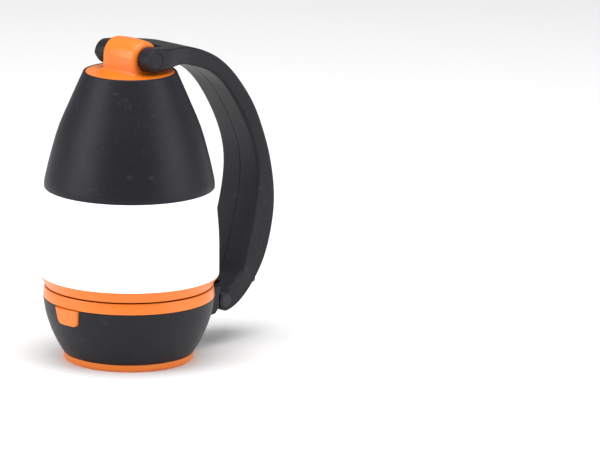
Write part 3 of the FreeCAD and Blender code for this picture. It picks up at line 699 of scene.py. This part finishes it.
# ---------------------------------------------------------------- handle
# The curved grip is two black half shells screwed together along the middle. Its foot has two lugs
# round the hinge pin, its top forks into two arms round the orange post, and a raised platform
# on its outer face carries the slide switch.
arm_r = 6.0
arm_in = post_half + 0.3
arm_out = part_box("handle_left_half")[1][1] / MM
arm_width = 2 * arm_out
foot_width = 2 * lug_half
# Stations up the grip in millimetres: outer edge (x, z), inner edge (x, z), width outside, width inside.
side_runs = [
    ((55.0, 18.1), (53.5, 28.2), 34.0, 31.0), ((61.5, 21.2), (58.0, 29.9), 33.6, 30.0),
    ((69.0, 27.5), (62.3, 32.3), 32.6, 28.6), ((75.6, 34.6), (65.2, 36.8), 31.2, 27.6),
    ((81.0, 43.2), (67.3, 44.0), 29.8, 26.9), ((84.3, 53.5), (70.5, 53.5), 29.2, 26.6),
    ((86.4, 64.0), (73.5, 64.0), 28.8, 26.4), ((86.4, 75.0), (75.8, 75.0), 28.3, 26.0),
    ((84.9, 85.0), (76.4, 84.0), 27.7, 25.5), ((82.6, 94.8), (75.4, 92.7), 27.1, 25.0),
    ((78.5, 106.0), (72.2, 102.4), 26.6, 24.5), ((73.0, 118.0), (66.4, 113.4), 26.2, 24.1),
    ((66.0, 127.6), (60.0, 123.0), 26.0, 24.0), ((58.0, 137.0), (52.6, 132.0), 26.0, 24.0),
    ((49.0, 144.3), (44.0, 138.2), 26.0, 24.0), ((42.0, 148.1), (38.0, 140.6), 26.0, 24.0),
    ((35.0, 151.0), (32.0, 142.4), 26.0, 24.0), ((28.5, 152.9), (27.3, 143.9), 26.0, 24.4)]
lead_in = [((pin_x, pin_z - knuckle_r), (pin_x, pin_z + knuckle_r), foot_width, foot_width)]
fork_run = [
    ((20.5, 154.25), (19.5, 145.1), 29.6, 29.0), ((11.0, 155.3), (11.0, 145.0), 36.4, 36.4),
    ((6.0, 156.0), (6.0, 144.7), arm_width, arm_width),
    ((piv_x, piv_z + arm_r), (piv_x, piv_z - arm_r), arm_width, arm_width)]
spine = curve_through([(*a, *b, w, n) for a, b, w, n in lead_in + side_runs + fork_run], 10)
soft_window = np.hanning(25)[1:-1] / np.hanning(25).sum()
side_rows = len(soft_window) // 2
before = 2 * spine[0] - spine[side_rows:0:-1]
beyond = 2 * spine[-1] - spine[-2:-side_rows - 2:-1]
padded = np.vstack([before, spine, beyond])
spine = np.stack([np.convolve(column, soft_window, "valid") for column in padded.T], -1)


def round_end(x, z, radius, width, start):
    """Stations that close an end with a half round about (x, z): the outer and inner edge points run
    along the two quarter circles until they meet."""
    a = np.linspace(0, np.pi / 2 * 0.999, 14)[1:]
    across, rise = x - radius * np.sin(a), start * radius * np.cos(a)
    wide = np.full_like(a, width)
    return np.stack([across, z + rise, across, z - rise, wide, wide], -1)


foot_end = round_end(pin_x, pin_z, knuckle_r, foot_width, -1)[::-1]
fork_end = round_end(piv_x, piv_z, arm_r, arm_width, 1)
stations = np.vstack([foot_end, spine, fork_end])


def section_outline(width, narrow, inner_edge, depth):
    """Half of the handle's section as (share of the depth, y) points, round a closed loop: the seam
    edge, the flat outer face, its crisp edge, the side, and the softer edge to the inner face."""
    half, low = width / 2, narrow / 2
    seam = 0.22
    edge = min(0.9, 0.3 * depth)
    soft = min(2.4, 0.42 * depth)
    crisp, round_over = np.linspace(0, 1, 8), np.linspace(0, 1, 10)
    return np.vstack([
        [(depth / 2, inner_edge), (seam, inner_edge), (0.0, inner_edge + seam)],
        np.stack([edge * crisp ** 2, half - edge * (1 - crisp) ** 2], -1),
        [(depth / 2, half * 0.55 + low * 0.45)],
        np.stack([depth - soft * (1 - round_over) ** 2,
                  low + (half - low) * 0.15 - soft * round_over ** 2], -1),
        [(depth, inner_edge + seam), (depth - seam, inner_edge)]])


slot_x = pin_x + knuckle_r + 2.4
fork_x = piv_x + arch_r + 2.0


def handle_half(name, side):
    """One half shell: at each station a frame is set across the arc, from the outer edge point O to
    the inner one I, and the half section is laid out on it as O + share * (I - O) / depth and y."""
    rows = []
    for row in stations:
        x = (row[0] + row[2]) / 2
        in_slot = x < slot_x and row[1] < 60
        in_fork = x < fork_x and row[1] > 120
        cut = knuckle_half + 0.3 if in_slot else arm_in if in_fork else 0.05
        if rows and abs(rows[-1][1] - cut) > 1:
            rows.append((rows[-1][0] * 0.02 + row * 0.98, rows[-1][1]))
        rows.append((row, cut))
    loops = []
    for row, cut in rows:
        outer, inner = np.array(row[:2]), np.array(row[2:4])
        depth = max(np.linalg.norm(inner - outer), 1e-4)
        way = (inner - outer) / depth
        sec = section_outline(row[4], row[5], cut, depth)
        xz = outer + sec[:, :1] * way
        loops.append(np.stack([xz[:, 0], side * sec[:, 1], xz[:, 1]], -1))
    grid = np.stack(loops)
    count, ring_n = grid.shape[:2]
    index = np.arange(count * ring_n).reshape(count, ring_n)
    after = np.roll(index, -1, 1)
    first, last = np.full(ring_n, count * ring_n), np.full(ring_n, count * ring_n + 1)
    quads = np.vstack([grid_quads(index, around=True), np.stack([after[0], index[0], first, first], -1),
                       np.stack([index[-1], after[-1], last, last], -1)])
    verts = np.vstack([grid.reshape(-1, 3), grid[0].mean(0), grid[-1].mean(0)]) * MM
    return closed_mesh(name, verts, quads, 35)


# The platform of the switch: its two directions and its middle as (x, z), and the slider's half length,
# half width, corner radius and travel, all in millimetres.
way_up = np.array(joint["mode_switch"]["axis"])[[0, 2]]
way_out = np.array([way_up[1], -way_up[0]])
slide_half = 5.65
reach = 13.25
travel = joint["mode_switch"]["range_m"][1] / MM
switch_mid = np.array([82.3, 41.5])
corner_r = 2.2


def at_switch(s, y, n):
    """Points at s along the platform, y across and n out of it."""
    s, y, n = np.broadcast_arrays(s, y, n)
    base = switch_mid + s[..., None] * way_up + n[..., None] * way_out
    return np.stack([base[..., 0], y, base[..., 1]], -1)


def round_rectangle(low, high, half, corner, count=9):
    """Loop round a rectangle with round corners, as (s, y)."""
    a = np.linspace(0, np.pi / 2, count)
    loop = []
    for k, (cs, cy) in enumerate(((high - corner, half - corner), (low + corner, half - corner),
                                  (low + corner, corner - half), (high - corner, corner - half))):
        t = a + k * np.pi / 2
        loop.append(np.stack([cs + corner * np.cos(t), cy + corner * np.sin(t)], -1))
    return np.vstack(loop)


def stacked_pad(name, levels, keep=None):
    """Closed block from round rectangles (low, high, half, corner, n) on the platform, one over the other
    at height n. keep clips it to one side of the seam."""
    loops = []
    for low, high, half, corner, n in levels:
        loop = round_rectangle(low, high, half, corner)
        y = loop[:, 1]
        if keep is not None:
            y = np.maximum(y * keep, 0.05) * keep
        loops.append(at_switch(loop[:, 0], y, np.full(len(loop), float(n))))
    grid = np.stack(loops)
    index = np.arange(grid.shape[0] * grid.shape[1]).reshape(grid.shape[:2])
    return faceted(name, grid.reshape(-1, 3), grid_quads(index, around=True).tolist()
                   + [index[0][::-1].tolist(), index[-1].tolist()])


def bore(name, x, z, radius, side, start, end, count=96):
    """Round cutter across the lamp about (x, z), from start to end out from the middle on one side."""
    return prism(name, disc_outline(x, z, radius, count), *sorted((side * start, side * end)))


# Cutters and pads on the platform as (low, high, half width, corner), and the screw holes as the place
# of each on the handle and the distance of its floor from the seam.
pocket = (-reach - 0.6, reach + travel + 0.9)
flat_half = slide_half + 2.55
screw_holes = [
    (switch_mid - (reach + 1.0) * way_up - 3.3 * way_out, slide_half + 1.35), ((78.5, 66.0), 11.0),
    ((66.0, 119.0), 9.5), ((24.4, 150.0), 10.0)]
well = slide_half + 0.3
well_corner = corner_r + 0.3
flare = (pocket[0] - 0.3, pocket[1] + 0.3, well + 0.3, corner_r + 0.5)
above = (pocket[0], pocket[1] + 2.0, flat_half - 0.3, 0.5)
stem_slot = (-2.6, 9.1, 1.8, 0.4)
chamber = (-8.6, 15.6, 6.2, 0.4)
for name, side, node in (("handle_half_left", 1, "handle_left_half"),
                         ("handle_half_right", -1, "handle_right_half")):
    half = handle_half(name, side)
    carve(half, stacked_pad("hill", [
        (pocket[0] - 5.6, pocket[1] + 4.2, flat_half + 3.0, 1.2, -10.0),
        (pocket[0] - 2.45, pocket[1] + 2.5, flat_half + 0.25, 1.2, -0.8),
        (pocket[0] - 2.35, pocket[1] + 2.35, flat_half + 0.1, 1.2, -0.3),
        (pocket[0] - 2.0, pocket[1] + 2.0, flat_half - 0.25, 1.0, 0.0)], keep=side), "UNION")
    carve(half, stacked_pad("chin", [
        (pocket[0] - 6.7, -5.0, flat_half + 4.0, 2.0, -13.4),
        (pocket[0] - 2.5, -1.0, flat_half + 0.2, 1.4, -0.9)], keep=side), "UNION")
    carve(half, stacked_pad("above", [(*above, 0.0), (*above, 8.0)]))
    carve(half, stacked_pad("well", [
        (*pocket, well, well_corner, -2.0), (*pocket, well, well_corner, -0.3),
        (*flare, 0.05), (*flare, 8.0)]))
    carve(half, stacked_pad("stem_slot", [(*stem_slot, -6.0), (*stem_slot, -1.0)]))
    carve(half, stacked_pad("chamber", [(*chamber, -11.6), (*chamber, -3.6)]))
    carve(half, bore("cap_seat", piv_x, piv_z, 4.15, side, arm_out - 1.1, arm_out + 2))
    carve(half, bore("pin_bore", piv_x, piv_z, 2.55, side, 9.0, arm_out - 1.0, 48))
    carve(half, bore("hinge_bore", pin_x, pin_z, pin_hole_r, side, 5.0, 20.0, 48))
    if side < 0:
        carve(half, bore("head_seat", pin_x, pin_z, 3.1, side, lug_half - 1.35, lug_half + 2))
    else:
        for (x, z), seat in screw_holes:
            carve(half, bore("screw_hole", x, z, 1.5, side, seat, 30, 32))
    shade(half, 28)
    finish_piece(half, black_skin, "handle", "black_plastic", node)

# ---------------------------------------------------------------- pivot caps
# Small black plugs that close the ends of the arms over the pivot pins, a hair below flush.
plug_low, plug_high = (np.array(c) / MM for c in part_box("pivot_caps"))
plug_r = (plug_high[0] - plug_low[0]) / 2
plugs, other_plug = (prism(
    "pivot_plugs", disc_outline(piv_x, piv_z, plug_r - 0.03),
    *sorted((side * (arm_out - 1.05), side * (arm_out - 0.02))), round_edge=0.3) for side in (-1, 1))
carve(plugs, other_plug, "UNION")
shade(plugs)
finish_piece(plugs, black_skin, "handle", "black_plastic", "pivot_caps")

# ---------------------------------------------------------------- slide switch
# The orange thumb slider. Its top rolls up to a grip ridge in the middle and to both ends, and a
# stem under it drives the switch inside the handle.
along = np.linspace(-1, 1, 121)
S = reach * (0.35 * np.sin(along * np.pi / 2) + 0.65 * along)
over = np.clip(np.abs(S) - (reach - corner_r), 0, corner_r)
slide_b = slide_half - corner_r + np.sqrt(np.maximum(corner_r ** 2 - over ** 2, 0))
SS = np.repeat(S[:, None], 33, 1)
YY = slide_b[:, None] * crowded(33)[None, :]
wave = curve_through([
    (-reach, 0.5), (-reach * 0.83, 1.5), (-reach * 0.45, 0.9), (-2.2, 1.7), (0.0, 2.9), (2.2, 1.7),
    (reach * 0.45, 0.9), (reach * 0.83, 1.5), (reach, 0.5)], 10)
crest = np.interp(SS, wave[:, 0], wave[:, 1])
rim_gap = np.minimum(slide_b[:, None] - np.abs(YY), reach - np.abs(SS))
N = crest - edge_drop(rim_gap, 0.8)
slider = two_sheets("thumb_slider", at_switch(SS, YY, N), at_switch(SS, YY, np.full_like(N, -1.8)))
carve(slider, stacked_pad("stem", [(-2.0, 2.0, 1.5, 0.4, -4.9), (-2.0, 2.0, 1.5, 0.4, -1.0)]), "UNION")
shade(slider)
finish_piece(slider, orange_skin, "switch", "orange_plastic", "switch_slider")

# ---------------------------------------------------------------- fixings and inner parts
# Plated pins, screws, contacts and the spring, the boards with their lamps, the cells and the
# white parts inside the head. They show through the joints or when the lamp is opened.
plated = metallised("zinc_plate", (0.60, 0.61, 0.63), 0.32, 900.0)
blued = metallised("blackened_pin", (0.055, 0.055, 0.062), 0.38, 900.0)
white_skin = moulded("white_abs", (0.82, 0.82, 0.80), 0.42, grain=1500.0, strength=0.1)
grey_skin = moulded("grey_switch", (0.10, 0.105, 0.115), 0.5)
seal_skin = moulded("seal_rubber", (0.018, 0.018, 0.019), 0.75, grain=1200.0, strength=0.3)
board_skin = moulded("white_solder_mask", (0.78, 0.80, 0.78), 0.35, grain=3000.0, strength=0.05)
cell_skin = moulded("cell_sleeve", (0.03, 0.032, 0.04), 0.22, grain=700.0, strength=0.05, Coat_Weight=0.5)
diode_skin = moulded("lamp_phosphor", (0.90, 0.78, 0.32), 0.3, grain=2500.0)
inner = {
    blued: ["hinge_pin"],
    plated: ["pivot_pins", "handle_screws", "floor_screws", "battery_cover_screws", "battery_contacts",
             "latch_spring"],
    white_skin: ["upper_reflector", "head_floor"],
    grey_skin: ["switch_body"],
    seal_skin: ["lens_seal"],
    board_skin: ["torch_led_board", "lantern_led_board", "switch_board"],
    cell_skin: ["battery_cells"],
    diode_skin: ["lantern_leds"],
    black_skin: ["battery_cover", "battery_tray"],
}
for material, names in inner.items():
    for node in names:
        nodes[node].data.materials.clear()
        nodes[node].data.materials.append(material)

# ---------------------------------------------------------------- studio
# A pale floor that fades into a white surround, a broad soft light on each side and one overhead.
floor_mesh = bpy.data.meshes.new("floor")
far = 6.0
floor_mesh.from_pydata([(-far, -far, 0), (far, -far, 0), (far, far, 0), (-far, far, 0)], [], [(0, 1, 2, 3)])
floor = new_piece("floor", floor_mesh)
paper = bpy.data.materials.new("pale_paper")
paper.use_nodes = True
paper_shader = paper.node_tree.nodes["Principled BSDF"]
paper_shader.inputs["Base Color"].default_value = (0.93, 0.93, 0.93, 1.0)
paper_shader.inputs["Roughness"].default_value = 0.9
floor_mesh.materials.append(paper)

world = bpy.data.worlds.new("studio")
bpy.context.scene.world = world
world.use_nodes = True
surround = world.node_tree.nodes["Background"]
surround.inputs["Color"].default_value = (1.0, 1.0, 1.0, 1.0)
surround.inputs["Strength"].default_value = 0.35
aim = Vector((0.02, 0.0, 0.08))


def softbox(name, place, size, power):
    """Square area light aimed at the lamp."""
    data = bpy.data.lights.new(name, "AREA")
    data.shape = "SQUARE"
    data.size = size
    data.energy = power
    light = new_piece(name, data)
    light.location = place
    light.rotation_mode = "QUATERNION"
    light.rotation_quaternion = (Vector(place) - aim).to_track_quat("Z", "Y")


softbox("side_left", (-1.0, 0.47, 0.5), 0.8, 7.0)
softbox("side_right", (0.46, -1.0, 0.45), 0.8, 5.5)
softbox("overhead", (-0.1, -0.1, 1.5), 1.5, 24.0)

bpy.context.scene.view_settings.view_transform = "Standard"
camera_data = bpy.data.cameras.new("camera")
camera = new_piece("camera", camera_data)
bpy.context.scene.camera = camera
turn, rise, lean = math.radians(-45.7), math.radians(13.5), math.radians(0.69)
away = 3.0
back = Vector((math.sin(turn) * math.cos(rise), -math.cos(turn) * math.cos(rise), math.sin(rise)))
flat_right = Vector((math.cos(turn), math.sin(turn), 0))
true_up = back.cross(flat_right)
right = flat_right * math.cos(lean) + true_up * math.sin(lean)
up = true_up * math.cos(lean) - flat_right * math.sin(lean)
offset_right, offset_up, view_width = 0.0841, 0.0643, 0.2943
sensor = 36.0
camera_data.sensor_width = sensor
camera_data.lens = sensor * away / view_width
camera_data.clip_start = 0.1
camera_data.clip_end = 50.0
camera.location = right * offset_right + up * offset_up + back * away
camera.rotation_mode = "QUATERNION"
camera.rotation_quaternion = Matrix((right, up, back)).transposed().to_quaternion()
